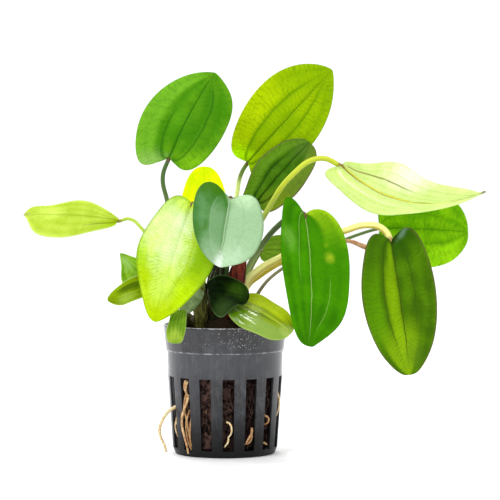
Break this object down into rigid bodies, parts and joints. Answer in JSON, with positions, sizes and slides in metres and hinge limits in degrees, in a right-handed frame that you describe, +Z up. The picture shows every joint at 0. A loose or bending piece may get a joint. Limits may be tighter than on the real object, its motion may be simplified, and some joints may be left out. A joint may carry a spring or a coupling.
{
  "type": "potted aquarium sword plant",
  "caption": "Submersible aquarium sword plant with heart-shaped leaves on long stalks, rooted in a fibre plug in a small slotted nursery pot.",
  "frame": {"origin": "middle of the pot's underside, on the surface it stands on", "axes": "+Z up; -Y is the front that the picture shows; +X is to the right as seen from the front, the way the longest leaf points"},
  "size_m": [0.199, 0.0708, 0.1673],
  "materials": {
    "pot_plastic": "dark grey moulded plastic, matt, with scuffed paler edges and grit on the rim",
    "plug_fibre": "damp dark brown coir and peat fibre",
    "crown_tissue": "brown fibrous rootstock with olive leaf bases",
    "leaf_green": "thin green leaf with curved veins and fine cross veins, satin to glossy, paler yellow patches",
    "stalk_green": "smooth fleshy stalk, olive to yellow-green",
    "dead_tissue": "dry brown-pink old stalk and dark red sheath",
    "root_skin": "cream to tan root, slightly hairy"
  },
  "bodies": {
    "root": {"back_root": "root_skin", "broad_back_blade": "leaf_green", "broad_back_stalk": "stalk_green", "crown": "crown_tissue", "curled_lower_blade": "leaf_green", "curled_lower_stalk": "stalk_green", "curled_upper_blade": "leaf_green", "curled_upper_stalk": "stalk_green", "dark_upper_blade": "leaf_green", "dark_upper_stalk": "stalk_green", "far_left_blade": "leaf_green", "far_left_stalk": "stalk_green", "far_right_root": "root_skin", "front_heart_blade": "leaf_green", "front_heart_stalk": "stalk_green", "front_root": "root_skin", "growing_plug": "plug_fibre", "hanging_centre_blade": "leaf_green", "hanging_centre_stalk": "stalk_green", "hanging_right_blade": "leaf_green", "hanging_right_stalk": "stalk_green", "hidden_olive_blade": "leaf_green", "hidden_olive_stalk": "stalk_green", "left_back_root": "root_skin", "left_root": "root_skin", "left_thin_root": "root_skin", "lime_front_blade": "leaf_green", "lime_front_stalk": "stalk_green", "low_glossy_blade": "leaf_green", "low_glossy_stalk": "stalk_green", "net_pot": "pot_plastic", "old_stalk": "dead_tissue", "outer_root": "root_skin", "outstretched_blade": "leaf_green", "outstretched_stalk": "stalk_green", "over_rim_blade": "leaf_green", "over_rim_stalk": "stalk_green", "red_sheath": "dead_tissue", "right_front_root": "root_skin", "right_root": "root_skin", "side_root": "root_skin", "small_dark_blade": "leaf_green", "small_dark_stalk": "stalk_green", "upper_left_blade": "leaf_green", "upper_left_stalk": "stalk_green", "upper_middle_blade": "leaf_green", "upper_middle_stalk": "stalk_green", "yellow_back_blade": "leaf_green", "yellow_back_stalk": "stalk_green"}
  },
  "joints": []
}
